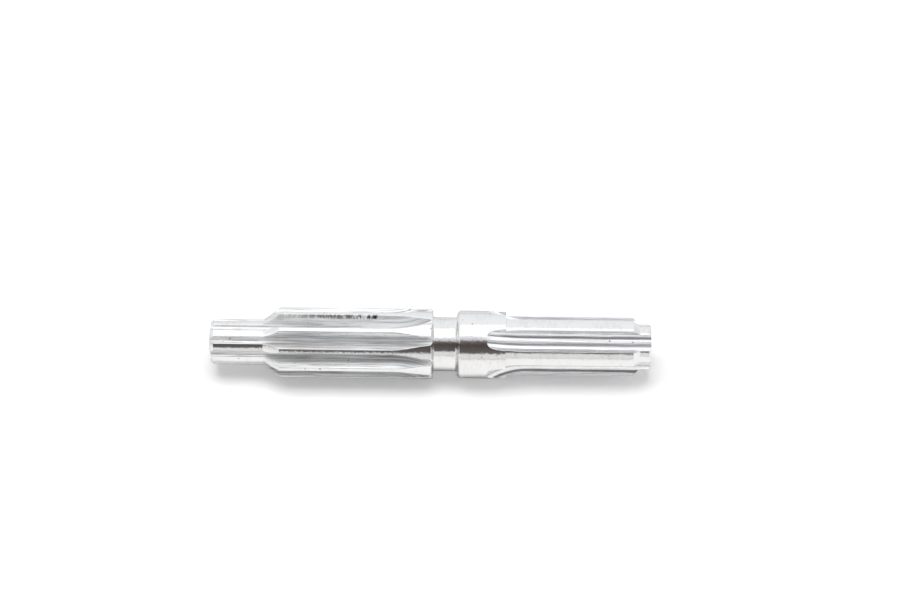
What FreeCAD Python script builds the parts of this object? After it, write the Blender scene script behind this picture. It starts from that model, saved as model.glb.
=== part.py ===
import FreeCAD, Part
import math
import os
import Sketcher

# A plated steel axle shaft, turned and then hobbed from one bar. It lies along X with its origin on the
# axis at mid-length. From the left end it has a fluted stub, a taper, a ten-tooth pinion, a plain neck,
# a journal collar and a five-key spline that ends in a short pilot. The tooth spaces of the pinion run on
# through the taper and the stub, and the spline spaces run on through the pilot.

# Sizes in millimetres and degrees
SIZES = {
    "stub_face_diameter": 2.9,
    "stub_crown_length": 0.43,
    "stub_diameter": 8.1,
    "stub_length": 9.27,
    "stub_end_chamfer": 0.45,
    "stub_root_round": 0.7,
    "taper_length": 3.1,
    "pinion_diameter": 12.6,
    "pinion_length": 27.4,
    "pinion_end_chamfer": 0.3,
    "tooth_count": 10,
    "tooth_root_diameter": 7.2,
    "tooth_root_round": 0.65,
    "tooth_space_width": 3.16,
    "tooth_run_out_length": 7.5,
    "neck_diameter": 9.7,
    "neck_length": 4.3,
    "neck_corner_chamfer": 0.25,
    "collar_diameter": 12.2,
    "collar_length": 8.8,
    "collar_chamfer": 0.5,
    "spline_diameter": 10.7,
    "spline_length": 22.8,
    "spline_count": 5,
    "spline_turn": 3.5,
    "spline_root_diameter": 7.36,
    "spline_space_width": 3.8,
    "spline_flank_angle": 33.5,
    "spline_root_round": 0.55,
    "spline_run_out_length": 3.95,
    "spline_end_taper_length": 1.2,
    "pilot_diameter": 8.3,
    "pilot_length": 2.0,
    "pilot_end_chamfer": 0.35,
    "hob_radius": 12.2,
    "cut_clearance": 0.8,
}

# Distances below this count as the same place, in millimetres
SAME_PLACE = 1e-4

# The hob leaves the shaft within a quarter turn
QUARTER_TURN = 90.0
FULL_TURN = 360.0

SIZES_LABEL = "sizes"
NODE = "axle_shaft"

# Lengths that the features share, as expressions
TO_PINION_END = "(sizes.stub_crown_length + sizes.stub_length + sizes.taper_length + sizes.pinion_length)"
OVERALL = (
    f"({TO_PINION_END} + sizes.neck_length + sizes.collar_length + sizes.spline_length"
    " + sizes.spline_end_taper_length + sizes.pilot_length)"
)
PINION_END = f"({TO_PINION_END} - {OVERALL} / 2)"
COLLAR_END = f"({PINION_END} + sizes.neck_length + sizes.collar_length)"


def make_sheet(document):
    """Fills the spreadsheet with one aliased cell for each size."""
    sheet = document.addObject("Spreadsheet::Sheet", SIZES_LABEL)
    for row, (name, value) in enumerate(SIZES.items(), start=1):
        sheet.set(f"A{row}", name)
        sheet.set(f"B{row}", str(value))
        sheet.setAlias(f"B{row}", name)
    document.recompute()
    return sheet


def origin_feature(body, role):
    """Returns the plane or axis of the body's origin that has this role."""
    return next(feature for feature in body.Origin.OriginFeatures if feature.Role == role)


def new_sketch(body, name, role):
    """Starts a sketch on one of the body's origin planes."""
    sketch = body.newObject("Sketcher::SketchObject", name)
    sketch.AttachmentSupport = [(origin_feature(body, role), "")]
    sketch.MapMode = "FlatFace"
    return sketch


def bind(sketch, kind, places, start, expression):
    """Adds one dimension with a starting value and ties it to an expression."""
    index = sketch.addConstraint(Sketcher.Constraint(kind, *places, start))
    sketch.setExpression(f"Constraints[{index}]", expression)


def join(sketch, first, second):
    """Joins the end of one edge to the start of the next."""
    sketch.addConstraint(Sketcher.Constraint("Coincident", first, 2, second, 1))


def turned_blank(body):
    """Turns the stepped blank: half of its lengthwise section, revolved about X."""
    sizes = SIZES
    sections = ("stub_face", "stub", "pinion", "neck", "collar", "spline", "pilot")
    radius = {name: sizes[f"{name}_diameter"] / 2 for name in sections}

    # Each step is the length along the shaft and the radius at its end
    steps = [
        ("stub_crown_length", "stub"),
        ("stub_length", "stub"),
        ("taper_length", "pinion"),
        ("pinion_length", "pinion"),
        (None, "neck"),
        ("neck_length", "neck"),
        (None, "collar"),
        ("collar_length", "collar"),
        (None, "spline"),
        ("spline_length", "spline"),
        ("spline_end_taper_length", "pilot"),
        ("pilot_length", "pilot"),
    ]
    overall = sum(sizes[length] for length, _ in steps if length)
    sketch = new_sketch(body, "turned_section", "XZ_Plane")
    outline = [(-overall / 2, 0.0), (-overall / 2, radius["stub_face"])]
    for length, end in steps:
        along = outline[-1][0] + (sizes[length] if length else 0.0)
        outline.append((along, radius[end]))
    outline.append((outline[-1][0], 0.0))
    corners = [FreeCAD.Vector(along, out, 0) for along, out in outline]
    for start, end in zip(corners, corners[1:] + corners[:1]):
        sketch.addGeometry(Part.LineSegment(start, end), False)

    edge_count = len(corners)
    for edge in range(edge_count):
        join(sketch, edge, (edge + 1) % edge_count)
    axis_edge = edge_count - 1
    sketch.addConstraint(Sketcher.Constraint("PointOnObject", axis_edge, 1, -1))
    sketch.addConstraint(Sketcher.Constraint("PointOnObject", axis_edge, 2, -1))
    sketch.addConstraint(Sketcher.Constraint("Vertical", 0))
    sketch.addConstraint(Sketcher.Constraint("Vertical", axis_edge - 1))
    bind(sketch, "DistanceX", (0, 1, -1, 1), overall / 2, f"{OVERALL} / 2")
    bind(sketch, "DistanceY", (-1, 1, 0, 2), radius["stub_face"], "sizes.stub_face_diameter / 2")
    for edge, (length, end) in enumerate(steps, start=1):
        if length:
            bind(sketch, "DistanceX", (edge, 1, edge, 2), sizes[length], f"sizes.{length}")
        else:
            sketch.addConstraint(Sketcher.Constraint("Vertical", edge))
        bind(sketch, "DistanceY", (-1, 1, edge, 2), radius[end], f"sizes.{end}_diameter / 2")

    blank = body.newObject("PartDesign::Revolution", "turned_blank")
    blank.Profile = (sketch, [""])
    blank.ReferenceAxis = (sketch, ["H_Axis"])
    blank.Angle = FULL_TURN
    return blank


def rim(shape, along, diameter):
    """Names the round edge that circles the axis at this place and diameter."""
    names = []
    for number, edge in enumerate(shape.Edges, start=1):
        curve = edge.Curve
        if not isinstance(curve, Part.Circle):
            continue
        if abs(curve.Center.x - along) < SAME_PLACE and abs(curve.Radius - diameter / 2) < SAME_PLACE:
            names.append(f"Edge{number}")
    return names


def dress_blank(document, body, blank):
    """Rounds and chamfers the turned corners, one feature for each size of corner."""
    sizes = SIZES
    start = blank.Shape.BoundBox.XMin
    end = blank.Shape.BoundBox.XMax
    stub_start = start + sizes["stub_crown_length"]
    taper_start = stub_start + sizes["stub_length"]
    pinion_end = taper_start + sizes["taper_length"] + sizes["pinion_length"]
    collar_start = pinion_end + sizes["neck_length"]
    corners = [
        ("stub_end", "Chamfer", "stub_end_chamfer", [(stub_start, "stub")]),
        ("stub_root", "Fillet", "stub_root_round", [(taper_start, "stub")]),
        ("pinion_end", "Chamfer", "pinion_end_chamfer", [(pinion_end, "pinion")]),
        ("neck_corners", "Chamfer", "neck_corner_chamfer", [(pinion_end, "neck"), (collar_start, "neck")]),
        ("collar_start", "Chamfer", "collar_chamfer", [(collar_start, "collar")]),
        ("pilot_end", "Chamfer", "pilot_end_chamfer", [(end, "pilot")]),
    ]
    base = blank
    for name, kind, size, places in corners:
        edges = []
        for along, section in places:
            edges += rim(base.Shape, along, sizes[f"{section}_diameter"])
        corner = body.newObject(f"PartDesign::{kind}", name)
        corner.Base = (base, edges)
        measure = "Radius" if kind == "Fillet" else "Size"
        corner.setExpression(measure, f"sizes.{size}")
        document.recompute()
        base = corner
    return base


def pin(sketch, edge, end, point, across, out):
    """Fixes one end of an edge: across the space from its middle plane, and out from the shaft's axis."""
    bind(sketch, "DistanceY", (-1, 1, edge, end), point.y, out)
    if point.x < 0:
        bind(sketch, "DistanceX", (edge, end, -1, 1), -point.x, across)
    else:
        bind(sketch, "DistanceX", (-1, 1, edge, end), point.x, across)


def short_arc(start, end, centre):
    """Joins two points by the shorter arc about this centre."""
    angles = [math.atan2(point.y - centre.y, point.x - centre.x) for point in (start, end)]
    first, last = angles
    if (last - first) % math.tau > math.pi:
        first, last = last, first
    circle = Part.Circle(centre, FreeCAD.Vector(0, 0, 1), start.distanceToPoint(centre))
    return Part.ArcOfCircle(circle, first, last if last > first else last + math.tau)


def mirrored(point):
    """Takes a point to the other side of the space's middle plane."""
    return FreeCAD.Vector(-point.x, point.y, 0)


def space_sketch(body, name, along, turn, half, edge_centre, floor_centre, round_size, hob_height):
    """Draws the space between two teeth, seen along the shaft, with its middle plane upright.

    half lists the right-hand outline from the floor outwards, each point with its two expressions, and the
    left-hand side mirrors it. The first edge of each side is an arc about edge_centre. The floor is flat,
    or an arc about floor_centre that runs on smoothly into both sides. round_size is the radius of the
    floor's arc, or of the first edges where the floor is flat. The hob turns about a line at hob_height.
    """
    sketch = new_sketch(body, name, "YZ_Plane")
    sketch.setExpression("AttachmentOffset.Base.z", along)
    sketch.setExpression("AttachmentOffset.Rotation.Angle", turn)
    right = [FreeCAD.Vector(across, out, 0) for across, out, _, _ in half]
    corners = right + [mirrored(point) for point in reversed(right)]
    formulas = [(across, out) for _, _, across, out in half]
    formulas += reversed(formulas)

    floor_edge = len(corners) - 1
    centres = {0: edge_centre, floor_edge - 1: mirrored(edge_centre)}
    if floor_centre:
        centres[floor_edge] = floor_centre
    for edge, start in enumerate(corners):
        end = corners[(edge + 1) % len(corners)]
        if edge in centres:
            sketch.addGeometry(short_arc(start, end, centres[edge]), False)
        else:
            sketch.addGeometry(Part.LineSegment(start, end), False)

    # An arc runs anticlockwise, so its own start may be the outline's end
    ends = {}
    for edge, start in enumerate(corners):
        swapped = edge in centres and sketch.Geometry[edge].StartPoint.distanceToPoint(start) > SAME_PLACE
        ends[edge] = (2, 1) if swapped else (1, 2)
    for edge in range(len(corners)):
        following = (edge + 1) % len(corners)
        smooth = floor_centre and floor_edge in (edge, following)
        kind = "Tangent" if smooth else "Coincident"
        sketch.addConstraint(Sketcher.Constraint(kind, edge, ends[edge][1], following, ends[following][0]))
    for edge, (point, (across, out)) in enumerate(zip(corners, formulas)):
        pin(sketch, edge, ends[edge][0], point, across, out)
    rounded = [floor_edge] if floor_centre else [0, floor_edge - 1]
    for edge in rounded:
        bind(sketch, "Radius", (edge,), SIZES[round_size], f"sizes.{round_size}")

    height, height_text = hob_height
    reach = SIZES["cut_clearance"] / 2
    hob_axis = sketch.addGeometry(
        Part.LineSegment(FreeCAD.Vector(-reach, height, 0), FreeCAD.Vector(reach, height, 0)), True)
    sketch.addConstraint(Sketcher.Constraint("Symmetric", hob_axis, 1, hob_axis, 2, -2))
    bind(sketch, "DistanceX", (hob_axis, 1, hob_axis, 2), reach * 2, "sizes.cut_clearance")
    bind(sketch, "DistanceY", (-1, 1, hob_axis, 1), height, height_text)
    return sketch


def tooth_space(body):
    """Draws the pinion's tooth space: a round root that runs on into two bulging flanks.

    Each flank is an arc that leaves the root on a line through the shaft's axis and ends at the tooth's tip.
    """
    sizes = SIZES
    root = sizes["tooth_root_diameter"] / 2
    root_round = sizes["tooth_root_round"]
    tip = sizes["pinion_diameter"] / 2
    half_tip = sizes["tooth_space_width"] / 2
    clearance = sizes["cut_clearance"]
    floor_centre = FreeCAD.Vector(0, root + root_round, 0)
    lean = math.asin(root_round / (root + root_round))
    tip_out = math.sqrt(tip * tip - half_tip * half_tip)

    root_text = "sizes.tooth_root_diameter / 2"
    lean_text = f"asin(sizes.tooth_root_round / ({root_text} + sizes.tooth_root_round))"
    tip_text = "sizes.tooth_space_width / 2"
    tip_out_text = "sqrt(sizes.pinion_diameter ^ 2 - sizes.tooth_space_width ^ 2) / 2"
    half = [
        (root_round * math.cos(lean), root + root_round * (1 - math.sin(lean)),
         f"sizes.tooth_root_round * cos({lean_text})",
         f"{root_text} + sizes.tooth_root_round * (1 - sin({lean_text}))"),
        (half_tip, tip_out, tip_text, tip_out_text),
        (half_tip + clearance, tip_out + clearance,
         f"{tip_text} + sizes.cut_clearance", f"{tip_out_text} + sizes.cut_clearance"),
    ]

    # The flank's radius follows from its first direction and its two ends
    foot = FreeCAD.Vector(half[0][0], half[0][1], 0)
    chord = FreeCAD.Vector(half_tip, tip_out, 0) - foot
    sideways = FreeCAD.Vector(math.cos(lean), -math.sin(lean), 0)
    flank_centre = foot + sideways * (chord.dot(chord) / (2 * chord.dot(sideways)))
    return space_sketch(
        body, "tooth_space", f"{PINION_END} - sizes.tooth_run_out_length", "0", half, flank_centre,
        floor_centre, "tooth_root_round", (root + sizes["hob_radius"], f"{root_text} + sizes.hob_radius"))


def spline_space(body):
    """Draws the spline's space: a flat floor, rounded feet and straight leaning flanks."""
    sizes = SIZES
    root = sizes["spline_root_diameter"] / 2
    root_round = sizes["spline_root_round"]
    crest = sizes["spline_diameter"] / 2
    half_crest = sizes["spline_space_width"] / 2
    lean = math.radians(sizes["spline_flank_angle"])
    crest_out = math.sqrt(crest * crest - half_crest * half_crest)
    corner = half_crest - (crest_out - root) * math.tan(lean)
    tangent = root_round * math.tan(math.pi / 4 - lean / 2)
    top = sizes["collar_diameter"] / 2 + sizes["cut_clearance"]

    lean_text = "(sizes.spline_flank_angle * 1deg)"
    root_text = "sizes.spline_root_diameter / 2"
    crest_text = "sqrt(sizes.spline_diameter ^ 2 - sizes.spline_space_width ^ 2) / 2"
    corner_text = f"(sizes.spline_space_width / 2 - ({crest_text} - {root_text}) * tan({lean_text}))"
    tangent_text = f"sizes.spline_root_round * tan(45deg - {lean_text} / 2)"
    top_text = "(sizes.collar_diameter / 2 + sizes.cut_clearance)"
    half = [
        (corner - tangent, root, f"{corner_text} - {tangent_text}", root_text),
        (corner + tangent * math.sin(lean), root + tangent * math.cos(lean),
         f"{corner_text} + {tangent_text} * sin({lean_text})",
         f"{root_text} + {tangent_text} * cos({lean_text})"),
        (half_crest + (top - crest_out) * math.tan(lean), top,
         f"sizes.spline_space_width / 2 + ({top_text} - {crest_text}) * tan({lean_text})", top_text),
    ]
    foot_centre = FreeCAD.Vector(corner - tangent, root + root_round, 0)
    return space_sketch(
        body, "spline_space", f"{COLLAR_END} + sizes.spline_run_out_length",
        "180 / sizes.spline_count - sizes.spline_turn", half, foot_centre,
        None, "spline_root_round", (root + sizes["hob_radius"], f"{root_text} + sizes.hob_radius"))


def hobbed_spaces(document, body, sketch, name, count, towards_end):
    """Cuts one space, straight to the shaft's end and curving out where the hob leaves, then repeats it."""
    straight = body.newObject("PartDesign::Pocket", f"{name}_straight")
    straight.Profile = (sketch, [""])
    straight.Type = "ThroughAll"
    straight.Reversed = towards_end
    document.recompute()

    run_out = body.newObject("PartDesign::Groove", f"{name}_run_out")
    run_out.Profile = (sketch, [""])
    run_out.ReferenceAxis = (sketch, ["Axis0"])
    run_out.Angle = QUARTER_TURN
    run_out.Reversed = not towards_end
    document.recompute()

    around = body.newObject("PartDesign::PolarPattern", f"{name}_around")
    around.Originals = [straight, run_out]
    around.Axis = (origin_feature(body, "X_Axis"), [""])
    around.Angle = FULL_TURN
    around.setExpression("Occurrences", f"sizes.{count}")
    body.Tip = around
    document.recompute()
    return around


def check(document, body):
    """Stops if any feature failed or the shaft isn't one sound solid."""
    for item in document.Objects:
        if "Invalid" in item.State or "Error" in item.State:
            raise RuntimeError(f"{item.Name} failed: {item.State}")
    shape = body.Shape
    if shape.isNull() or not shape.isValid() or len(shape.Solids) != 1:
        raise RuntimeError(f"{body.Label} isn't one valid solid")


def main():
    document = FreeCAD.newDocument(NODE)
    make_sheet(document)
    body = document.addObject("PartDesign::Body", NODE)
    body.Label = NODE
    body.Placement = FreeCAD.Placement()

    blank = turned_blank(body)
    document.recompute()
    dress_blank(document, body, blank)
    hobbed_spaces(document, body, tooth_space(body), "teeth", "tooth_count", towards_end=False)
    hobbed_spaces(document, body, spline_space(body), "splines", "spline_count", towards_end=True)
    check(document, body)

    os.makedirs("parts", exist_ok=True)
    body.Shape.exportStep(f"parts/{body.Label}.step")
    box = body.Shape.BoundBox
    print(f"{body.Label}: {box.XLength:.2f} x {box.YLength:.2f} x {box.ZLength:.2f} mm")
    print(f"volume {body.Shape.Volume:.1f} mm3, {len(body.Shape.Faces)} faces")


main()
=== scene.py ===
import math

import bpy
import numpy as np
from bpy.props import FloatProperty, FloatVectorProperty, IntProperty, PointerProperty
from mathutils import Matrix, Vector


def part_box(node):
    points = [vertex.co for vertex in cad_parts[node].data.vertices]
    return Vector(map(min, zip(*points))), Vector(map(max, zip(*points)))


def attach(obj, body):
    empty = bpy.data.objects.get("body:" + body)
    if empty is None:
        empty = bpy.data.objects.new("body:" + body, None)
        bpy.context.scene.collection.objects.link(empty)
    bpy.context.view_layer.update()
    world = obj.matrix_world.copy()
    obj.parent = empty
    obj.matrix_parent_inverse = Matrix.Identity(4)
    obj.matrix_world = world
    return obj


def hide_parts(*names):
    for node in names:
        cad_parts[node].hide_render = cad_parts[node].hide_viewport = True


bl_info = {
    "name": "Hobbed Axle Shaft",
    "version": (1, 0, 0),
    "blender": (4, 5, 0),
    "location": "3D View > Sidebar > Axle Shaft",
    "description": "A bright plated axle shaft with hobbed pinion teeth and a coarse spline",
    "category": "Mesh",
}

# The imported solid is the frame: its box gives the shaft's overall length and largest diameter
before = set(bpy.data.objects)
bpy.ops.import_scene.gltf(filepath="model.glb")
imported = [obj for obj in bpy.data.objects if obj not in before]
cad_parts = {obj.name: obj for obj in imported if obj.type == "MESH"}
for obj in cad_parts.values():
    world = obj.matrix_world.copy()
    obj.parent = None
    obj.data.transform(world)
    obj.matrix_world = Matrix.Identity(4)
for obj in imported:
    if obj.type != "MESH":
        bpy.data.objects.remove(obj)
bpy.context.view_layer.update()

NODE = "axle_shaft"
BODY = "root"
MM = 0.001
LOW, HIGH = (np.array(corner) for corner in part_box(NODE))
HALF_LENGTH = float(HIGH[0] - LOW[0]) / 2
PINION_DIAMETER = float(HIGH[1] - LOW[1])


def length(name, description, millimetres):
    """A length that a user may change, written here in millimetres and kept in metres."""
    return FloatProperty(
        name=name, description=description, default=millimetres * MM, min=0.0, unit="LENGTH")


class ShaftSizes(bpy.types.PropertyGroup):
    """Sizes of the turned blank, the tooth spaces and the spline spaces."""

    face_diameter: length("End face diameter", "Flat middle of the stub's crowned end", 2.9)
    crown_length: length("Crown length", "How far the stub's end face stands out in its middle", 0.43)
    stub_diameter: length("Stub diameter", "Across the ribs of the fluted stub", 8.1)
    stub_length: length("Stub length", "From the crowned end to the taper", 9.27)
    stub_chamfer: length("Stub chamfer", "At the stub's crowned end", 0.45)
    stub_root_round: length("Stub root round", "Where the stub meets the taper", 0.7)
    taper_length: length("Taper length", "From the stub up to the pinion", 3.1)
    pinion_length: length("Pinion length", "Full diameter part of the toothed length", 27.4)
    pinion_chamfer: length("Pinion chamfer", "At the pinion's end by the neck", 0.3)
    tooth_root_diameter: length("Tooth root diameter", "Across the floors of the tooth spaces", 7.2)
    tooth_root_round: length("Tooth root round", "Radius of the tooth space's floor", 0.65)
    tooth_space_width: length("Tooth space width", "Between two tips", 3.16)
    tooth_run_out: length("Tooth run-out", "Where the hob leaves the pinion", 7.5)
    neck_diameter: length("Neck diameter", "Of the plain neck", 9.7)
    neck_length: length("Neck length", "Between the pinion and the collar", 4.3)
    neck_chamfer: length("Neck chamfer", "In both inner corners of the neck", 0.25)
    collar_diameter: length("Collar diameter", "Of the plain journal collar", 12.2)
    collar_length: length("Collar length", "From the neck to the spline", 8.8)
    collar_chamfer: length("Collar chamfer", "At the collar's edge by the neck", 0.5)
    spline_diameter: length("Spline diameter", "Over the keys", 10.7)
    spline_length: length("Spline length", "From the collar to the end taper", 22.8)
    spline_root_diameter: length("Spline root diameter", "Across the floors of the spline spaces", 7.36)
    spline_space_width: length("Spline space width", "Between two keys at full diameter", 3.8)
    spline_root_round: length("Spline root round", "At the feet of the keys", 1.1)
    spline_run_out: length("Spline run-out", "Part of the run-out past the collar", 3.95)
    end_taper_length: length("End taper length", "From the spline down to the pilot", 1.2)
    pilot_diameter: length("Pilot diameter", "Of the short pilot", 8.3)
    pilot_chamfer: length("Pilot chamfer", "At the pilot's end", 0.35)
    hob_radius: length("Hob radius", "Radius of the curve that the hob leaves", 12.2)
    edge_round: length("Edge round", "Softening of the teeth's edges", 0.13)
    key_round: length("Key round", "Softening of the keys' edges", 0.11)
    corner_round: length("Corner round", "Softening of the turned corners", 0.07)
    tooth_count: IntProperty(name="Teeth", description="Teeth of the pinion", default=10, min=3)
    spline_count: IntProperty(name="Keys", description="Keys of the spline", default=5, min=3)
    floor_angle: FloatProperty(
        name="Spline floor", description="Half the angle over which a spline space follows the root circle",
        default=math.radians(8), subtype="ANGLE")
    spline_turn: FloatProperty(
        name="Spline turn", description="Turn of the spline against the teeth", default=math.radians(31.0),
        subtype="ANGLE")


class FinishLook(bpy.types.PropertyGroup):
    """Colours and fineness of the plating, with painted light, painted shade and painted reflection in the
    hobbed spaces.
    """

    plating: FloatVectorProperty(
        name="Plating", description="Colour of the bright plating", default=(0.88, 0.88, 0.87),
        subtype="COLOR")
    # Painted light: a lighter copy of the plating in the hobbed spaces, for the white that they mirror
    groove_painted_light: FloatVectorProperty(
        name="Groove plating", description="Colour of the plating in the hobbed spaces",
        default=(0.98, 0.99, 1.0), subtype="COLOR")
    # Painted shade: bluish grey lines in the hobbed spaces for the shade and dark surroundings that their
    # walls mirror
    painted_shade_lines: FloatVectorProperty(
        name="Hatching", description="Shade of the fine hatching in the tooth spaces",
        default=(0.46, 0.48, 0.50), subtype="COLOR")
    stain: FloatVectorProperty(
        name="Stain", description="Brown film left by the bath", default=(0.62, 0.54, 0.46), subtype="COLOR")
    stain_share: FloatProperty(name="Stain share", description="How strongly the film shows", default=0.16)
    edge_tint: FloatVectorProperty(
        name="Edge tint", description="What the plating mirrors where it turns away",
        default=(0.62, 0.63, 0.65), subtype="COLOR")
    roughness: FloatProperty(name="Roughness", description="Of the turned surfaces", default=0.07)
    groove_roughness: FloatProperty(name="Groove roughness", description="Of the tooth spaces", default=0.26)
    scatter: FloatProperty(
        name="Scatter", description="Share of the light that the tooth spaces scatter", default=0.56)
    line_depth: length("Line depth", "Of the lines and waves that the cutters left", 0.075)


class StudioLook(bpy.types.PropertyGroup):
    """Floor, light and camera."""

    elevation: FloatProperty(
        name="Elevation", description="Camera above the horizon", default=math.radians(50), subtype="ANGLE")
    azimuth: FloatProperty(
        name="Azimuth", description="Camera to the right of the shaft's middle", default=math.radians(0.9),
        subtype="ANGLE")
    distance: FloatProperty(
        name="Distance", description="Camera from the shaft", default=0.71, unit="LENGTH")
    focal_length: FloatProperty(
        name="Focal length", description="Of the camera, in millimetres", default=158.0)
    aim_right: FloatProperty(
        name="Aim right", description="Picture centre to the right of the shaft's middle", default=0.0036,
        unit="LENGTH")
    aim_up: FloatProperty(
        name="Aim up", description="Picture centre above the shaft's middle", default=0.0079, unit="LENGTH")
    floor_glow: FloatProperty(
        name="Floor glow", description="White that the camera sees even in shadow", default=0.22)
    mirrored_glow: FloatProperty(
        name="Mirrored glow", description="White that the metal sees in the floor even in shadow",
        default=0.11)
    fill: FloatProperty(name="Fill", description="Level of the light from all round", default=0.35)
    lamp_power: FloatProperty(
        name="Lamp power", description="Of the overhead soft lamp, in watts", default=2.05)
    side_power: FloatProperty(
        name="Side power", description="Of the low soft lamp at the right, in watts", default=0.22)


# How many points the grid has round half a space: floor and flank, rounded edge, land
TOOTH_POINTS = (12, 4, 7)
SPLINE_POINTS = (24, 5, 16)
# An outline's rounded corner gets this many rows
CORNER_ROWS = 4
# Angle over which the columns of a space are bunched where the shaft is whole, in radians
BUNCH = math.radians(0.4)
# Below this share of the edge's rounding a row counts as whole
WHOLE_BELOW = 1e-3
# Share of a cut's points that are drawn towards its rim
TOWARDS_RIM = 0.35
# Weight of the conic that rounds a tooth's or key's edge
EDGE_WEIGHT = 0.9
# Set between the noise of one space and the next, in metres
SPACE_SHIFT = 0.02
BISECTIONS = 40
# Points of the curves that a ring is found on: each arc of a tooth, then a key's floor, foot and flank
TOOTH_SAMPLES = 120
FLOOR_SAMPLES, FOOT_SAMPLES, FLANK_SAMPLES = 40, 90, 80
# How far a tooth's flank runs on past its tip
PAST_TIP = 1.2
# Rows where the hob leaves the pinion and where it comes to the spline, and how they crowd at the rim
LEAVING_ROWS = 34
ARRIVING_ROWS = 20
CROWDING = 1.8
# Rows nearer to the pinion's end than this share of the way are left to its corner
TO_CORNER = 0.999
# Rings on the two end faces, as shares of the face's radius and of the last row's
START_CAP = (0.15, 0.5, 0.9)
END_CAP = (0.97, 0.6, 0.15)


def blend_corner(start, corner, end, weight, steps):
    """Rounds a corner: a conic from start to end that leans towards the corner by its weight.

    Formula: ((1-t)^2 start + 2 t (1-t) weight corner + t^2 end) / ((1-t)^2 + 2 t (1-t) weight + t^2). With
    the cosine of half the turn as weight it is a true arc.
    """
    t = np.asarray(steps)
    near, mid, far = (1 - t) ** 2, 2 * t * (1 - t) * weight, t ** 2
    total = near + mid + far
    return near / total * start + mid / total * corner + far / total * end


def turned_rows(corners):
    """Rows of place and radius along a turned outline.

    Each corner is (place, radius, round, spacing): the corner is rounded by an arc of that radius, cut back
    by round * tan(turn / 2), and spacing lists the rows on the way to the next corner as shares of the way.
    """
    points = np.array([corner[:2] for corner in corners])
    ways = np.diff(points, axis=0)
    reach = np.linalg.norm(ways, axis=1)
    ways = ways / reach[:, None]
    rows = [points[:1]]
    start = points[0]
    for index in range(1, len(corners)):
        incoming = ways[index - 1]
        cut_back = 0.0
        if index < len(corners) - 1:
            turn = math.acos(float(np.clip(incoming @ ways[index], -1, 1)))
            cut_back = corners[index][2] * math.tan(turn / 2)
        end = points[index] - incoming * cut_back
        shares = np.asarray(corners[index - 1][3], dtype=float)
        rows.append(start + (end - start) * shares[:, None])
        rows.append(end[None])
        start = end
        if cut_back > 0:
            start = points[index] + ways[index] * cut_back
            steps = np.linspace(0, 1, CORNER_ROWS + 1)[1:, None]
            rows.append(blend_corner(end, points[index], start, math.cos(turn / 2), steps))
    return np.concatenate(rows)


def even(count):
    """Shares of a way, evenly spaced, without its ends."""
    return np.linspace(0, 1, count + 2)[1:-1]


def tooth_profile(s):
    """Half the tooth space: how far along the outline, across, and out from the axis.

    Formula: an arc of the root's radius about (0, root + round) from the floor until it points at the axis,
    then an arc that leaves it smoothly and passes through the tip.
    """
    root = s.tooth_root_diameter / 2
    rounding = s.tooth_root_round
    centre = root + rounding
    lean = math.asin(rounding / centre)
    tip = np.array([s.tooth_space_width / 2, 0.0])
    tip[1] = math.sqrt((PINION_DIAMETER / 2) ** 2 - tip[0] ** 2)
    foot = np.array([rounding * math.cos(lean), centre - rounding * math.sin(lean)])
    sideways = np.array([math.cos(lean), -math.sin(lean)])
    chord = tip - foot
    flank = chord @ chord / (2 * chord @ sideways)
    sweep = 2 * math.asin(np.linalg.norm(chord) / (2 * flank))
    turn = np.linspace(0, math.pi / 2 - lean, TOOTH_SAMPLES)
    root_part = np.stack([rounding * np.sin(turn), centre - rounding * np.cos(turn)], 1)
    turn = np.linspace(0, sweep * PAST_TIP, TOOTH_SAMPLES)[1:, None]
    upwards = np.array([math.sin(lean), math.cos(lean)])
    flank_part = foot + sideways * flank * (1 - np.cos(turn)) + upwards * flank * np.sin(turn)
    return measured(np.concatenate([root_part, flank_part]))


def spline_profile(s):
    """Half the spline space: a floor on the root circle, an arc at its foot and a straight flank.

    Formula: the foot's centre lies the root's radius plus the round out from the axis, at the floor's half
    angle. From it the crest is seen at the angle base, distance away: the flank leans by base - asin(round /
    distance).
    """
    root = s.spline_root_diameter / 2
    crest = s.spline_diameter / 2
    half = s.spline_space_width / 2
    rounding = s.spline_root_round
    centre = (root + rounding) * np.array([math.sin(s.floor_angle), math.cos(s.floor_angle)])
    way = np.array([half, math.sqrt(crest ** 2 - half ** 2)]) - centre
    lean = math.atan2(way[0], way[1]) - math.asin(rounding / np.linalg.norm(way))
    turn = np.linspace(0, s.floor_angle, FLOOR_SAMPLES)
    floor = root * np.stack([np.sin(turn), np.cos(turn)], 1)
    turn = np.linspace(-s.floor_angle, math.pi / 2 - lean, FOOT_SAMPLES)[1:]
    foot = centre + rounding * np.stack([np.sin(turn), -np.cos(turn)], 1)
    rise = np.linspace(0, s.collar_diameter / 2 + s.key_round - foot[-1, 1], FLANK_SAMPLES)[1:]
    flank = np.stack([foot[-1, 0] + rise * math.tan(lean), foot[-1, 1] + rise], 1)
    return measured(np.concatenate([floor, foot, flank]))


def measured(points):
    """Adds how far along the outline each point lies."""
    along = np.concatenate([[0.0], np.cumsum(np.linalg.norm(np.diff(points, axis=0), axis=1))])
    return along, points[:, 0], points[:, 1]


def hob_lift(out, past, hob_centre):
    """Distance from the axis once the hob leaves: hob_centre - sqrt((hob_centre - out)^2 - past^2)."""
    return hob_centre - np.sqrt(np.maximum((hob_centre - out) ** 2 - past ** 2, 0.0))


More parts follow.
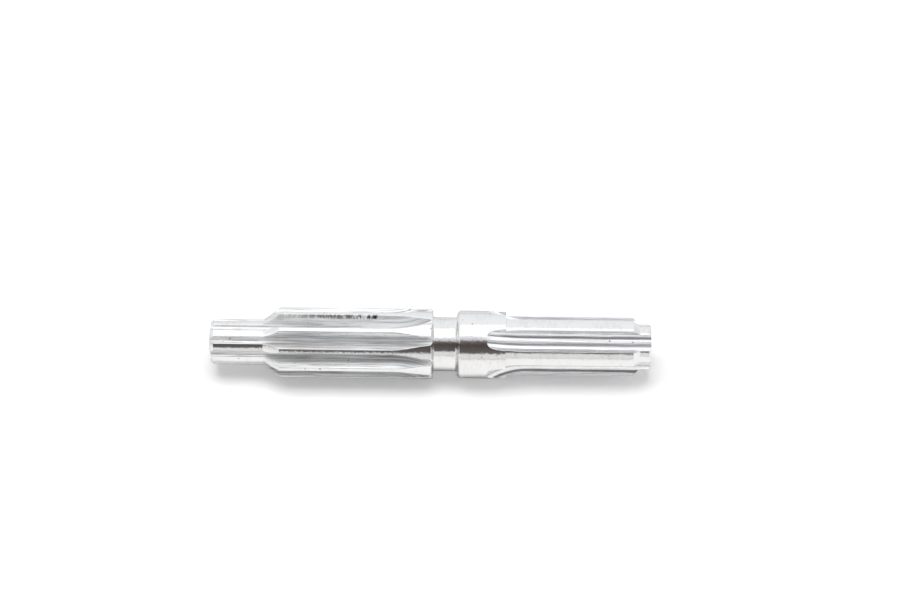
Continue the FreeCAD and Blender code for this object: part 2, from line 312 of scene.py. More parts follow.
def cut_rings(rows, past, profile, hob_centre, count, first_turn, points, edge):
    """Rings of points round the shaft where spaces are cut in it, one for each row.

    In a row of radius R, half a space runs from its floor out along the profile, lifted by the hob, to the
    place where across^2 + out^2 = R^2, which bisection finds. A conic rounds the edge there, and the rest of
    the pitch lies on the circle of radius R. Where the floor is outside R, the columns of the space lie
    bunched on the circle. Mirrored and turned copies complete the ring.
    """
    along, across, out = profile
    radius = rows[:, 1:2]
    past = past[:, None]
    low = np.zeros_like(radius)
    high = np.full_like(radius, along[-1])
    for _ in range(BISECTIONS):
        middle = (low + high) / 2
        u = np.interp(middle, along, across)
        w = hob_lift(np.interp(middle, along, out), past, hob_centre)
        inside = u * u + w * w < radius * radius
        low, high = np.where(inside, middle, low), np.where(inside, high, middle)
    rim = low
    whole = rim < edge * WHOLE_BELOW

    def section(place):
        u = np.interp(place, along, across)
        w = hob_lift(np.interp(place, along, out), past, hob_centre)
        return np.stack([u, w], -1)

    cut_points, edge_points, land_points = points
    half_pitch = math.pi / count
    back = np.minimum(edge, rim / 2)
    corner = section(rim)
    corner_angle = np.where(whole, BUNCH, np.maximum(np.arctan2(corner[..., 0], corner[..., 1]), BUNCH / 8))
    land_start = corner_angle + np.minimum(edge / radius, (half_pitch - corner_angle) / 3)
    on_rim = radius[..., None] * np.stack([np.sin(land_start), np.cos(land_start)], -1)
    drawn = np.sin(np.linspace(0, math.pi / 2, cut_points))
    shares = drawn * TOWARDS_RIM + np.linspace(0, 1, cut_points) * (1 - TOWARDS_RIM)
    cut = section((rim - back) * shares)
    steps = np.linspace(0, 1, edge_points + 2)[1:-1, None]
    last_cut = cut[:, -1:, :]
    edge_part = blend_corner(last_cut, corner, on_rim, EDGE_WEIGHT, steps)
    lands = land_start + (half_pitch - land_start) * np.linspace(0, 1, land_points)
    angle = np.concatenate([np.arctan2(cut[..., 0], cut[..., 1]),
                            np.arctan2(edge_part[..., 0], edge_part[..., 1]), lands], 1)
    reach = np.concatenate([np.hypot(cut[..., 0], cut[..., 1]),
                            np.hypot(edge_part[..., 0], edge_part[..., 1]),
                            np.broadcast_to(radius, lands.shape)], 1)
    spread = np.linspace(0, 1, cut_points + edge_points + 1)[:-1]
    bunched = np.concatenate([land_start * spread, lands], 1)
    angle = np.where(whole, bunched, angle)
    reach = np.where(whole, np.broadcast_to(radius, reach.shape), reach)
    place = np.concatenate([np.broadcast_to((rim - back) * shares, cut.shape[:2]),
                            np.broadcast_to(rim, edge_part.shape[:2]),
                            rim + (lands - corner_angle) * radius], 1)
    hobbed = np.concatenate([np.ones(cut_points), np.linspace(1, 0, edge_points + 2)[1:-1],
                             np.zeros(land_points)])
    hobbed = np.where(whole, 0.0, np.broadcast_to(hobbed, angle.shape))

    order = np.concatenate([np.arange(angle.shape[1])[::-1], np.arange(1, angle.shape[1] - 1)])
    side = np.concatenate([-np.ones(angle.shape[1]), np.ones(angle.shape[1] - 2)])
    turns = first_turn + 2 * half_pitch * np.arange(count)
    theta = (angle[:, order] * side)[:, None, :] + turns[None, :, None]
    shape = (len(rows), count, len(order))
    ring_angle = theta.reshape(len(rows), -1)
    ring_reach = np.broadcast_to(reach[:, order][:, None, :], shape).reshape(len(rows), -1)
    ring_hobbed = np.broadcast_to(hobbed[:, order][:, None, :], shape).reshape(len(rows), -1)
    ring_place = (place[:, order] * side)[:, None, :] + SPACE_SHIFT * np.arange(count)[None, :, None]
    return ring_angle, ring_reach, ring_hobbed, ring_place.reshape(len(rows), -1)


def closed_grid(name, places, rings):
    """Makes a closed skin from rings of points along X, with a point at the middle of both ends.

    places is one value for each ring, rings is (rings, columns, 2) of Y and Z. Faces point outwards.
    """
    ring_count, columns = rings.shape[:2]
    grid = np.concatenate([np.broadcast_to(places[:, None, None], (ring_count, columns, 1)), rings], 2)
    ends = np.array([[places[0], 0.0, 0.0], [places[-1], 0.0, 0.0]])
    points = np.concatenate([grid.reshape(-1, 3), ends])
    index = np.arange(ring_count * columns).reshape(ring_count, columns)
    after = np.roll(index, -1, axis=1)
    quads = np.stack([index[:-1], after[:-1], after[1:], index[1:]], -1).reshape(-1, 4)
    first, last = len(points) - 2, len(points) - 1
    start_fan = np.stack([np.full(columns, first), after[0], index[0]], -1)
    end_fan = np.stack([np.full(columns, last), index[-1], after[-1]], -1)
    loops = np.concatenate([quads.ravel(), start_fan.ravel(), end_fan.ravel()])
    sizes = np.concatenate([np.full(len(quads), 4), np.full(2 * columns, 3)])
    mesh = bpy.data.meshes.new(name)
    mesh.vertices.add(len(points))
    mesh.vertices.foreach_set("co", points.ravel())
    mesh.loops.add(len(loops))
    mesh.loops.foreach_set("vertex_index", loops.astype(np.int32))
    mesh.polygons.add(len(sizes))
    starts = np.concatenate([[0], np.cumsum(sizes)[:-1]])
    mesh.polygons.foreach_set("loop_start", starts.astype(np.int32))
    mesh.update(calc_edges=True)
    mesh.validate()
    mesh.shade_smooth()
    return mesh


def store(mesh, name, values, rest=0.0):
    """Stores one number for each point of the grid, and one for both end points."""
    attribute = mesh.attributes.new(name, "FLOAT", "POINT")
    attribute.data.foreach_set("value", np.concatenate([values.ravel(), [rest, rest]]).astype(np.float32))


def shaft_mesh(s):
    """Builds the skin of the whole shaft, one ring of points for each row of its turned outline."""
    start = -HALF_LENGTH
    pinion = PINION_DIAMETER / 2
    stub = s.stub_diameter / 2
    neck = s.neck_diameter / 2
    collar = s.collar_diameter / 2
    spline = s.spline_diameter / 2
    pilot = s.pilot_diameter / 2
    soft = s.corner_round
    crown_slope = (stub - s.face_diameter / 2) / s.crown_length
    chamfer_x = s.stub_chamfer / math.hypot(1, crown_slope)
    stub_start = start + s.crown_length
    taper_start = stub_start + s.stub_length
    pinion_start = taper_start + s.taper_length
    pinion_end = pinion_start + s.pinion_length
    neck_end = pinion_end + s.neck_length
    collar_end = neck_end + s.collar_length
    spline_end = collar_end + s.spline_length
    pilot_start = spline_end + s.end_taper_length

    tooth_start = pinion_end - s.tooth_run_out
    tooth_hob = s.tooth_root_diameter / 2 + s.hob_radius
    tooth_close = math.sqrt(s.hob_radius ** 2 - (tooth_hob - pinion) ** 2)
    spline_cut = collar_end + s.spline_run_out
    spline_hob = s.spline_root_diameter / 2 + s.hob_radius
    spline_close = math.sqrt(s.hob_radius ** 2 - (spline_hob - collar) ** 2)

    run = pinion_end - s.pinion_chamfer - pinion_start
    crowded = 1 - (1 - np.linspace(0, 1, LEAVING_ROWS)) ** CROWDING
    leaving = (tooth_start - pinion_start + tooth_close * crowded) / run
    pinion_rows = np.concatenate([even(16) * (tooth_start - pinion_start) / run, leaving])
    tooth_outline = turned_rows([
        (start, s.face_diameter / 2, 0, even(3)),
        (stub_start - chamfer_x, stub - chamfer_x * crown_slope, soft, even(5)),
        (stub_start + s.stub_chamfer, stub, soft, even(8)),
        (taper_start, stub, s.stub_root_round, even(10)),
        (pinion_start, pinion, soft, pinion_rows[pinion_rows < TO_CORNER]),
        (pinion_end - s.pinion_chamfer, pinion, soft, even(0)),
        (pinion_end, pinion - s.pinion_chamfer, 0, even(0)),
    ])
    neck_outline = turned_rows([
        (pinion_end, pinion - s.pinion_chamfer - soft, 0, even(1)),
        (pinion_end, neck + s.neck_chamfer, soft, even(0)),
        (pinion_end + s.neck_chamfer, neck, soft, even(3)),
        (neck_end - s.neck_chamfer, neck, soft, even(0)),
        (neck_end, neck + s.neck_chamfer, soft, even(0)),
        (neck_end, collar - s.collar_chamfer - soft, 0, even(0)),
    ])
    collar_run = collar_end - neck_end - s.collar_chamfer
    opening = spline_cut - spline_close - neck_end - s.collar_chamfer
    crowded = np.linspace(0, 1, ARRIVING_ROWS) ** CROWDING
    arriving = (opening + (collar_run - opening) * crowded) / collar_run
    collar_rows = np.concatenate([even(2) * opening / collar_run, arriving[:-1]])
    spline_run = spline_end - collar_end
    past_run_out = s.spline_run_out + even(16) * (spline_run - s.spline_run_out)
    spline_rows = np.concatenate([even(14) * s.spline_run_out, past_run_out]) / spline_run
    lean_in = 0.02 * MM
    spline_outline = turned_rows([
        (neck_end, collar - s.collar_chamfer, 0, even(0)),
        (neck_end + s.collar_chamfer, collar, soft, collar_rows),
        (collar_end - lean_in, collar, soft, even(2)),
        (collar_end, spline, soft / 2, spline_rows),
        (spline_end, spline, soft, even(6)),
        (pilot_start, pilot, soft, even(3)),
        (-start - s.pilot_chamfer, pilot, soft, even(2)),
        (-start, pilot - s.pilot_chamfer, 0, even(0)),
    ])

    tooth_past = np.maximum(tooth_outline[:, 0] - tooth_start, 0)
    tooth = cut_rings(tooth_outline, tooth_past, tooth_profile(s), tooth_hob, s.tooth_count, 0.0,
                      TOOTH_POINTS, s.edge_round)
    spline_past = np.maximum(spline_cut - spline_outline[:, 0], 0)
    keys = cut_rings(spline_outline, spline_past, spline_profile(s), spline_hob, s.spline_count,
                     s.spline_turn, SPLINE_POINTS, s.key_round)
    columns = tooth[0].shape[1]
    plain_angle = tooth[0][0, 0] + math.tau / columns * np.arange(columns)
    plain_angle = np.broadcast_to(plain_angle, (len(neck_outline), columns))
    plain = (plain_angle, np.broadcast_to(neck_outline[:, 1:2], plain_angle.shape),
             np.zeros(plain_angle.shape), np.zeros(plain_angle.shape))

    start_count, end_count = len(START_CAP), len(END_CAP)
    start_reach = np.array(START_CAP)[:, None] * s.face_diameter / 2
    unmarked = np.zeros((start_count, columns))
    start_cap = (plain_angle[:start_count], np.broadcast_to(start_reach, unmarked.shape), unmarked, unmarked)
    unmarked = np.zeros((end_count, columns))
    end_cap = (np.repeat(keys[0][-1:], end_count, 0), np.array(END_CAP)[:, None] * keys[1][-1:], unmarked,
               unmarked)
    parts = [start_cap, tooth, plain, keys, end_cap]
    angle, reach, hobbed, place = (np.concatenate([part[i] for part in parts]) for i in range(4))
    places = np.concatenate([np.full(start_count, start), tooth_outline[:, 0], neck_outline[:, 0],
                             spline_outline[:, 0], np.full(end_count, -start)])
    rings = np.stack([-reach * np.sin(angle), reach * np.cos(angle)], -1)
    mesh = closed_grid("axle_shaft_skin", places, rings)
    store(mesh, "hobbed", hobbed)
    store(mesh, "across", place)
    return mesh


def new_group(name, inputs, outputs):
    """Starts a shader node group with named sockets and returns it with its two ends."""
    group = bpy.data.node_groups.new(name, "ShaderNodeTree")
    for label, kind, default in inputs:
        socket = group.interface.new_socket(name=label, in_out="INPUT", socket_type=kind)
        if default is not None:
            socket.default_value = default
    for label, kind in outputs:
        group.interface.new_socket(name=label, in_out="OUTPUT", socket_type=kind)
    return group, group.nodes.new("NodeGroupInput"), group.nodes.new("NodeGroupOutput")


def math_node(tree, operation, first, second=None, third=None, clamp=False):
    """Adds one Math node, linking sockets and setting numbers."""
    node = tree.nodes.new("ShaderNodeMath")
    node.operation = operation
    node.use_clamp = clamp
    for socket, value in zip(node.inputs, (first, second, third)):
        if isinstance(value, bpy.types.NodeSocket):
            tree.links.new(value, socket)
        elif value is not None:
            socket.default_value = value
    return node.outputs[0]


def noise(tree, vector, scale, detail, roughness=0.5):
    """Adds one Noise node on this vector and returns its value."""
    node = tree.nodes.new("ShaderNodeTexNoise")
    node.inputs["Scale"].default_value = scale
    node.inputs["Detail"].default_value = detail
    node.inputs["Roughness"].default_value = roughness
    tree.links.new(vector, node.inputs["Vector"])
    return node.outputs["Fac"]


def combine(tree, x, y, z):
    """Adds one Combine XYZ node."""
    node = tree.nodes.new("ShaderNodeCombineXYZ")
    for socket, value in zip(node.inputs, (x, y, z)):
        if isinstance(value, bpy.types.NodeSocket):
            tree.links.new(value, socket)
        else:
            socket.default_value = value
    return node.outputs[0]


def mix_colour(tree, factor, first, second):
    """Adds one Mix node for colours."""
    node = tree.nodes.new("ShaderNodeMix")
    node.data_type = "RGBA"
    for socket, value in zip((node.inputs[0], node.inputs[6], node.inputs[7]), (factor, first, second)):
        if isinstance(value, bpy.types.NodeSocket):
            tree.links.new(value, socket)
        else:
            socket.default_value = value if isinstance(value, float) else (*value, 1.0)
    return node.outputs[2]


def ridges(tree, value, softness):
    """Sharpens a noise value into ridges: 1 where it is a half, falling to 0 on both sides."""
    away = math_node(tree, "ABSOLUTE", math_node(tree, "SUBTRACT", value, 0.5))
    return math_node(tree, "SUBTRACT", 1.0, math_node(tree, "DIVIDE", away, softness), clamp=True)


def stretched_noise(tree, x, across, scales, detail, seed):
    """Noise on the hobbed surface, drawn out by different scales along the shaft and across the space."""
    vector = combine(tree, math_node(tree, "MULTIPLY", x, scales[0]),
                     math_node(tree, "MULTIPLY", across, scales[1]), seed)
    return noise(tree, vector, scale=1.0, detail=detail, roughness=0.6)


# Scales of the noise on the hobbed surface, along the shaft and across a space, for each metre
BROAD_LINES = (60.0, 2300.0)
FINE_LINES = (240.0, 6500.0)
FEED_WAVES = (1500.0, 300.0)
# Painted reflection: dark streaks where the spaces mirror the dark band and the shadowed floor
REFLECTION_STREAKS = (45.0, 1900.0)
# Painted shade: bluish grey lines in the spaces
SHADE_LINES = (70.0, 2300.0)
TORN_BARS = (2400.0, 900.0)
# Scales of the noise that is drawn out round the shaft, along it and across it
LATHE_RINGS = (3000.0, 1000.0)
DRAWN_FILM = (1900.0, 700.0)
# And of the noise that isn't drawn out
FILM_PATCHES = 210.0
PIT_SCALE = 2300.0
# Shares of these marks in the height, against the broad lines
FINE_SHARE = 0.35
FEED_SHARE = 0.40
RING_SHARE = 0.55
# Beyond this place, at the collar's edge, the marks are the spline's, which are weaker by this share
SPLINE_PLACE = 5 * MM
SPLINE_WEAKER = 0.62
# Half the width of a painted reflection streak, as a part of the noise's range
REFLECTION_STREAK_WIDTH = 0.035
# Each of these makes a soft mask of a value: what it is multiplied by, and what is added
# The first is the mask of the painted shade lines
SHADE_LINE_MASK = (9.0, -4.4)
TORN_MASK = (8.0, -3.2)
FILM_MASK = (7.0, -1.6)
PIT_MASK = (30.0, -25.2)
# The torn band: how far from the space's floor, its mask by the distance from there and by the place along
# the shaft, and where it ends
TORN_REACH = 2.72 * MM
TORN_WIDTH_MASK = (-4500.0, 2.2)
TORN_GROWTH_MASK = (45.0, 1.45)
TORN_END = -9.3 * MM
# How strongly the painted shade lines and the painted reflection streaks show, and the colours of those
# streaks, of torn metal and of pits
SHADE_LINE_STRENGTH = 0.6
REFLECTION_STREAK_STRENGTH = 0.6
REFLECTION_STREAK_COLOUR = (0.26, 0.25, 0.24)
TORN_COLOUR = (0.05, 0.04, 0.035)
PIT_COLOUR = (0.10, 0.08, 0.07)


def mask(tree, value, slope_and_offset):
    """Turns a value into a mask from 0 to 1: value * slope + offset, clamped."""
    return math_node(tree, "MULTIPLY_ADD", value, *slope_and_offset, clamp=True)


def drawn_round(tree, axes, scales):
    """The place on the shaft, scaled along the shaft and across it."""
    along, across = scales
    x, y, z = axes
    return combine(tree, math_node(tree, "MULTIPLY", x, along), math_node(tree, "MULTIPLY", y, across),
                   math_node(tree, "MULTIPLY", z, across))


def marks_and_painted_shade_group():
    """Marks of the hob and the lathe, with painted shade and painted reflection: lines and feed waves where
    the hob cut, and fine rings where the lathe did.

    Heights come from noise that is stretched along the marks. Lines are dark streaks painted in the spaces
    as the reflection of the dark band and the shadowed floor, and Shade is bluish grey lines painted there
    as shade. Hobbed goes from 0, turned, to 1, hobbed.
    Coarse is 1 in the tooth spaces and less in the spline's.
    """
    group, given, made = new_group(
        "Tool marks and painted shade",
        [("Position", "NodeSocketVector", None), ("Across", "NodeSocketFloat", 0.0),
         ("Hobbed", "NodeSocketFloat", 0.0)],
        [("Height", "NodeSocketFloat"), ("Lines", "NodeSocketFloat"), ("Shade", "NodeSocketFloat"),
         ("Coarse", "NodeSocketFloat")])
    parts = group.nodes.new("ShaderNodeSeparateXYZ")
    group.links.new(given.outputs["Position"], parts.inputs[0])
    x = parts.outputs[0]
    across = given.outputs["Across"]
    hobbed = given.outputs["Hobbed"]
    on_spline = math_node(group, "GREATER_THAN", x, SPLINE_PLACE)
    strength = math_node(group, "MULTIPLY_ADD", on_spline, -SPLINE_WEAKER, 1.0)
    coarse = math_node(group, "MULTIPLY", strength, hobbed)

    broad_lines = stretched_noise(group, x, across, BROAD_LINES, detail=2.0, seed=0.0)
    fine_lines = stretched_noise(group, x, across, FINE_LINES, detail=1.0, seed=4.0)
    feed_waves = stretched_noise(group, x, across, FEED_WAVES, detail=1.0, seed=8.0)
    hob_height = math_node(
        group, "ADD", math_node(group, "MULTIPLY_ADD", fine_lines, FINE_SHARE, broad_lines),
        math_node(group, "MULTIPLY", feed_waves, FEED_SHARE))
    around = drawn_round(group, parts.outputs, LATHE_RINGS)
    lathe_rings = noise(group, around, scale=1.0, detail=2.0, roughness=0.7)
    turned = math_node(group, "SUBTRACT", 1.0, hobbed)
    height = math_node(
        group, "MULTIPLY_ADD", math_node(group, "MULTIPLY", lathe_rings, turned), RING_SHARE,
        math_node(group, "MULTIPLY", hob_height, coarse))
    # Painted reflection: dark streaks in the spaces
    reflection_streaks = ridges(group, stretched_noise(group, x, across, REFLECTION_STREAKS, detail=2.0, seed=15.0), REFLECTION_STREAK_WIDTH)
    lines = math_node(group, "MULTIPLY", reflection_streaks, coarse)
    # Painted shade: bluish grey lines in the spaces
    painted_shade_lines = stretched_noise(group, x, across, SHADE_LINES, detail=2.0, seed=30.0)
    shade = math_node(group, "MULTIPLY", mask(group, painted_shade_lines, SHADE_LINE_MASK), coarse)
    group.links.new(height, made.inputs["Height"])
    group.links.new(lines, made.inputs["Lines"])
    group.links.new(shade, made.inputs["Shade"])
    group.links.new(coarse, made.inputs["Coarse"])
    return group


def torn_flank_group():
    """Torn flank: dark bars that the hob tore along the upper flank of the top tooth space.

    The band lies 2.72 mm from the middle of the space's floor, measured along the surface. It is full within
    0.27 mm of there and fades over 0.22 mm more. It grows along the pinion and ends 2.35 mm before the place
    where the hob begins to lift.
    """
    group, given, made = new_group(
        "Torn flank", [("Position", "NodeSocketVector", None), ("Across", "NodeSocketFloat", 0.0)],
        [("Torn", "NodeSocketFloat")])
    parts = group.nodes.new("ShaderNodeSeparateXYZ")
    group.links.new(given.outputs["Position"], parts.inputs[0])
    x = parts.outputs[0]
    across = given.outputs["Across"]
    away = math_node(group, "ABSOLUTE", math_node(group, "ADD", across, TORN_REACH))
    band = mask(group, away, TORN_WIDTH_MASK)
    growing = mask(group, x, TORN_GROWTH_MASK)
    not_ended = math_node(group, "LESS_THAN", x, TORN_END)
    bars = stretched_noise(group, x, across, TORN_BARS, detail=1.0, seed=21.0)
    torn = mask(group, bars, TORN_MASK)
    place = math_node(group, "MULTIPLY", band, math_node(group, "MULTIPLY", growing, not_ended))
    group.links.new(math_node(group, "MULTIPLY", place, torn), made.inputs["Torn"])
    return group


def film_group():
    """Film of the plating bath: mottled, drawn out round the shaft, with a few small pits."""
    group, given, made = new_group(
        "Film", [("Position", "NodeSocketVector", None)],
        [("Film", "NodeSocketFloat"), ("Pits", "NodeSocketFloat")])
    parts = group.nodes.new("ShaderNodeSeparateXYZ")
    group.links.new(given.outputs["Position"], parts.inputs[0])
    drawn = drawn_round(group, parts.outputs, DRAWN_FILM)
    mottle = noise(group, drawn, scale=1.0, detail=3.0, roughness=0.6)
    patches = noise(group, given.outputs["Position"], FILM_PATCHES, detail=2.0)
    film = mask(group, math_node(group, "MULTIPLY", mottle, patches), FILM_MASK)
    spots = noise(group, given.outputs["Position"], PIT_SCALE, detail=0.0)
    group.links.new(film, made.inputs["Film"])
    group.links.new(mask(group, spots, PIT_MASK), made.inputs["Pits"])
    return group


def added_group(tree, group):
    """Adds a node that runs this group."""
    node = tree.nodes.new("ShaderNodeGroup")
    node.node_tree = group
    return node


def plated_steel(look):
    """Bright plating over turned and hobbed steel, with painted light, painted shade and painted reflection
    streaks in the hobbed spaces.
    """
    material = bpy.data.materials.new("Plated steel")
    material.use_nodes = True
    tree = material.node_tree
    shader = tree.nodes["Principled BSDF"]
    shader.inputs["Specular Tint"].default_value = (*look.edge_tint, 1.0)
    position = tree.nodes.new("ShaderNodeTexCoord").outputs["Object"]
    hobbed = tree.nodes.new("ShaderNodeAttribute")
    hobbed.attribute_name = "hobbed"
    across = tree.nodes.new("ShaderNodeAttribute")
    across.attribute_name = "across"
    marks = added_group(tree, marks_and_painted_shade_group())
    tree.links.new(position, marks.inputs["Position"])
    tree.links.new(across.outputs["Fac"], marks.inputs["Across"])
    tree.links.new(hobbed.outputs["Fac"], marks.inputs["Hobbed"])
    film = added_group(tree, film_group())
    tree.links.new(position, film.inputs["Position"])

    # Painted light: the hobbed spaces get the lighter copy of the plating
    bare = mix_colour(tree, hobbed.outputs["Fac"], tuple(look.plating), tuple(look.groove_painted_light))
    # Painted shade lines darken the spaces
    shade = math_node(tree, "MULTIPLY", marks.outputs["Shade"], SHADE_LINE_STRENGTH)
    shaded = mix_colour(tree, shade, bare, tuple(look.painted_shade_lines))
    # Painted reflection streaks darken thin lines in the spaces
    lines = math_node(tree, "MULTIPLY", marks.outputs["Lines"], REFLECTION_STREAK_STRENGTH)
    reflection_streaked = mix_colour(tree, lines, shaded, REFLECTION_STREAK_COLOUR)
    torn_flank = added_group(tree, torn_flank_group())
    tree.links.new(position, torn_flank.inputs["Position"])
    tree.links.new(across.outputs["Fac"], torn_flank.inputs["Across"])
    torn = mix_colour(tree, torn_flank.outputs["Torn"], reflection_streaked, TORN_COLOUR)
    filmed = mix_colour(
        tree, math_node(tree, "MULTIPLY", film.outputs["Film"], look.stain_share), torn, tuple(look.stain))
    colour = mix_colour(tree, film.outputs["Pits"], filmed, PIT_COLOUR)
    tree.links.new(colour, shader.inputs["Base Color"])
    rougher = look.groove_roughness - look.roughness
    rough = math_node(tree, "MULTIPLY_ADD", marks.outputs["Coarse"], rougher, look.roughness)
    tree.links.new(rough, shader.inputs["Roughness"])
    mirrored = math_node(tree, "MULTIPLY_ADD", marks.outputs["Coarse"], -look.scatter, 1.0)
    tree.links.new(mirrored, shader.inputs["Metallic"])
    bump = tree.nodes.new("ShaderNodeBump")
    bump.inputs["Strength"].default_value = 1.0
    bump.inputs["Distance"].default_value = look.line_depth
    tree.links.new(marks.outputs["Height"], bump.inputs["Height"])
    tree.links.new(bump.outputs["Normal"], shader.inputs["Normal"])
    return material


class SHAFT_OT_build(bpy.types.Operator):
    """Builds the shaft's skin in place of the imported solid"""

    bl_idname = "axle_shaft.build_shaft"
    bl_label = "Build shaft"

    def execute(self, context):
        mesh = shaft_mesh(context.scene.shaft_sizes)
        shaft = bpy.data.objects.new("shaft", mesh)
        context.collection.objects.link(shaft)
        shaft.data.materials.append(plated_steel(context.scene.shaft_finish))
        weighted = shaft.modifiers.new("Even shading", "WEIGHTED_NORMAL")
        weighted.weight = 60
        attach(shaft, BODY)
        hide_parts(NODE)
        return {"FINISHED"}


def floor_paint(look):
    """White studio floor that keeps the shaft's soft shadow."""
    material = bpy.data.materials.new("Floor")
    material.use_nodes = True
    tree = material.node_tree
    tree.nodes.clear()
    output = tree.nodes.new("ShaderNodeOutputMaterial")
    diffuse = tree.nodes.new("ShaderNodeBsdfDiffuse")
    diffuse.inputs["Color"].default_value = (0.85, 0.85, 0.85, 1)
    path = tree.nodes.new("ShaderNodeLightPath")
    seen = math_node(tree, "MAXIMUM", path.outputs["Is Camera Ray"], path.outputs["Is Transmission Ray"])
    mirrored = math_node(tree, "MULTIPLY", path.outputs["Is Glossy Ray"], look.mirrored_glow)
    glow = tree.nodes.new("ShaderNodeEmission")
    glow.inputs["Color"].default_value = (1, 1, 1, 1)
    tree.links.new(math_node(tree, "MULTIPLY_ADD", seen, look.floor_glow, mirrored), glow.inputs["Strength"])
    both = tree.nodes.new("ShaderNodeAddShader")
    tree.links.new(diffuse.outputs[0], both.inputs[0])
    tree.links.new(glow.outputs[0], both.inputs[1])
    tree.links.new(both.outputs[0], output.inputs["Surface"])
    return material


# What the metal mirrors, by angle in degrees up from the front over the top to the back: red, green and blue
SURROUNDINGS = [
    (-5, (0.90, 0.90, 0.90)), (1, (0.80, 0.80, 0.81)), (17, (0.80, 0.80, 0.81)),
    (21, (0.14, 0.125, 0.12)), (48, (0.07, 0.065, 0.065)), (56, (0.15, 0.11, 0.10)),
    (61, (0.24, 0.18, 0.16)), (65, (0.62, 0.63, 0.69)), (76, (0.76, 0.79, 0.86)),
    (79, (1.25, 1.25, 1.25)), (121, (1.25, 1.25, 1.25)),
    (123.5, (0.84, 0.84, 0.86)), (126, (0.96, 0.98, 1.01)), (180, (0.92, 0.94, 0.97)),
]
# And how much of that is left towards the shaft's ends, by the sideways part of the direction
SIDEWAYS = [(-1.0, 0.74), (-0.97, 0.92), (-0.85, 1.0), (0.80, 1.0), (0.95, 0.72), (1.0, 0.45)]


def ramp(tree, factor, stops):
    """Adds a colour ramp with (position, colour) stops."""
    node = tree.nodes.new("ShaderNodeValToRGB")
    tree.links.new(factor, node.inputs[0])
    elements = node.color_ramp.elements
    while len(elements) < len(stops):
        elements.new(0.5)
    for element, (position, colour) in zip(elements, stops):
        element.position = position
        element.color = (*colour, 1.0)
    return node.outputs["Color"]


def studio_world(scene, look):
    """World light: an even white fill, and bands of light and dark that only the metal mirrors."""
    world = bpy.data.worlds.new("Studio")
    scene.world = world
    world.use_nodes = True
    tree = world.node_tree
    tree.nodes.clear()
    output = tree.nodes.new("ShaderNodeOutputWorld")
    direction = tree.nodes.new("ShaderNodeTexCoord").outputs["Generated"]
    parts = tree.nodes.new("ShaderNodeSeparateXYZ")
    tree.links.new(direction, parts.inputs[0])
    front = math_node(tree, "MULTIPLY", parts.outputs["Y"], -1.0)
    angle = math_node(tree, "ARCTAN2", parts.outputs["Z"], front)
    share = math_node(tree, "MULTIPLY_ADD", angle, 1 / math.tau, 0.5)
    bands = ramp(tree, share, [(0.5 + degrees / 360, colour) for degrees, colour in SURROUNDINGS])
    side = math_node(tree, "MULTIPLY_ADD", parts.outputs["X"], 0.5, 0.5)
    dimming = ramp(tree, side, [(0.5 + x / 2, (level,) * 3) for x, level in SIDEWAYS])
    metal = tree.nodes.new("ShaderNodeBackground")
    tree.links.new(bands, metal.inputs["Color"])
    tree.links.new(dimming, metal.inputs["Strength"])
    path = tree.nodes.new("ShaderNodeLightPath")
    seen = math_node(tree, "MAXIMUM", path.outputs["Is Camera Ray"], path.outputs["Is Transmission Ray"])
    plain = tree.nodes.new("ShaderNodeBackground")
    plain.inputs["Color"].default_value = (1, 1, 1, 1)
    strength = math_node(tree, "MULTIPLY_ADD", seen, 1.0 - look.fill, look.fill)
    tree.links.new(strength, plain.inputs["Strength"])
    mix = tree.nodes.new("ShaderNodeMixShader")
    tree.links.new(path.outputs["Is Glossy Ray"], mix.inputs[0])
    tree.links.new(plain.outputs[0], mix.inputs[1])
    tree.links.new(metal.outputs[0], mix.inputs[2])
    tree.links.new(mix.outputs[0], output.inputs["Surface"])


# Half the floor's width, in metres
FLOOR_REACH = 3.0
# Soft lamps: name, place in metres, turn about Y in radians, and size in metres
OVERHEAD_LAMP = ("Overhead", (-0.05, 0.03, 0.5), -0.10, (0.44, 0.28))
SIDE_LAMP = ("Side", (0.36, 0.0, 0.16), 1.15, (0.20, 0.30))


class SHAFT_OT_studio(bpy.types.Operator):
    """Builds the floor, the soft light and the world"""

    bl_idname = "axle_shaft.build_studio"
    bl_label = "Build studio"

    def execute(self, context):
        look = context.scene.shaft_studio
        rest = float(LOW[2])
        corners = [(x * FLOOR_REACH, y * FLOOR_REACH, rest) for x, y in ((-1, -1), (1, -1), (1, 1), (-1, 1))]
        mesh = bpy.data.meshes.new("floor")
        mesh.from_pydata(corners, [], [(0, 1, 2, 3)])
        mesh.materials.append(floor_paint(look))
        floor = bpy.data.objects.new("floor", mesh)
        context.collection.objects.link(floor)

        for name, place, turn, size, power in (
                (*OVERHEAD_LAMP, look.lamp_power), (*SIDE_LAMP, look.side_power)):
            lamp = bpy.data.lights.new(name, "AREA")
            lamp.shape = "RECTANGLE"
            lamp.size, lamp.size_y = size
            lamp.energy = power
            soft_lamp = bpy.data.objects.new(name, lamp)
            soft_lamp.location = place
            soft_lamp.rotation_euler = (0.0, turn, 0.0)
            soft_lamp.visible_glossy = False
            context.collection.objects.link(soft_lamp)
        studio_world(context.scene, look)
        return {"FINISHED"}


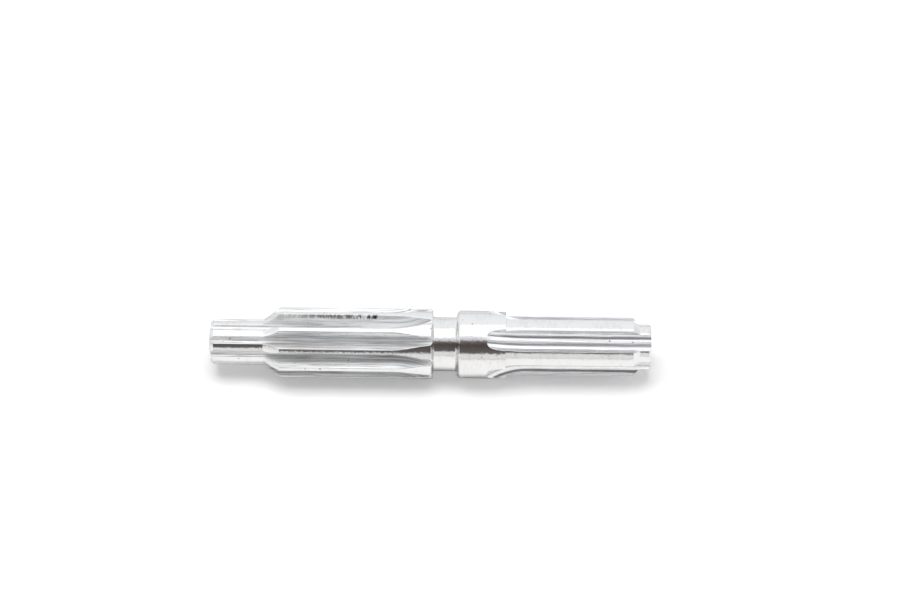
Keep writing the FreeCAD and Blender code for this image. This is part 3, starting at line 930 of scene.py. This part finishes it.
class SHAFT_OT_camera(bpy.types.Operator):
    """Places the camera at the photograph's viewing angle"""

    bl_idname = "axle_shaft.place_camera"
    bl_label = "Place camera"

    def execute(self, context):
        look = context.scene.shaft_studio
        turn = Matrix.Rotation(look.azimuth, 4, "Z") @ Matrix.Rotation(math.pi / 2 - look.elevation, 4, "X")
        right, up, back = (Vector(turn.col[i][:3]) for i in range(3))
        lens = bpy.data.cameras.new("Camera")
        lens.lens = look.focal_length
        lens.clip_start = 0.01
        camera = bpy.data.objects.new("Camera", lens)
        place = right * look.aim_right + up * look.aim_up + back * look.distance
        camera.matrix_world = Matrix.Translation(place) @ turn
        context.collection.objects.link(camera)
        context.scene.camera = camera
        context.scene.view_settings.view_transform = "Standard"
        return {"FINISHED"}


class SHAFT_PT_panel(bpy.types.Panel):
    """Lists the sizes, finishes and steps"""

    bl_label = "Axle Shaft"
    bl_idname = "SHAFT_PT_panel"
    bl_space_type = "VIEW_3D"
    bl_region_type = "UI"
    bl_category = "Axle Shaft"

    def draw(self, context):
        for operator in OPERATORS:
            self.layout.operator(operator.bl_idname)
        for group in ("shaft_sizes", "shaft_finish", "shaft_studio"):
            box = self.layout.box()
            settings = getattr(context.scene, group)
            for name in settings.bl_rna.properties.keys():
                if name not in ("rna_type", "name"):
                    box.prop(settings, name)


OPERATORS = (SHAFT_OT_build, SHAFT_OT_studio, SHAFT_OT_camera)
CLASSES = (ShaftSizes, FinishLook, StudioLook, *OPERATORS, SHAFT_PT_panel)


def register():
    for kind in CLASSES:
        bpy.utils.register_class(kind)
    bpy.types.Scene.shaft_sizes = PointerProperty(type=ShaftSizes)
    bpy.types.Scene.shaft_finish = PointerProperty(type=FinishLook)
    bpy.types.Scene.shaft_studio = PointerProperty(type=StudioLook)


def unregister():
    del bpy.types.Scene.shaft_studio
    del bpy.types.Scene.shaft_finish
    del bpy.types.Scene.shaft_sizes
    for kind in reversed(CLASSES):
        bpy.utils.unregister_class(kind)


def main():
    register()
    bpy.ops.axle_shaft.build_shaft()
    bpy.ops.axle_shaft.build_studio()
    bpy.ops.axle_shaft.place_camera()


if __name__ == "__main__":
    main()
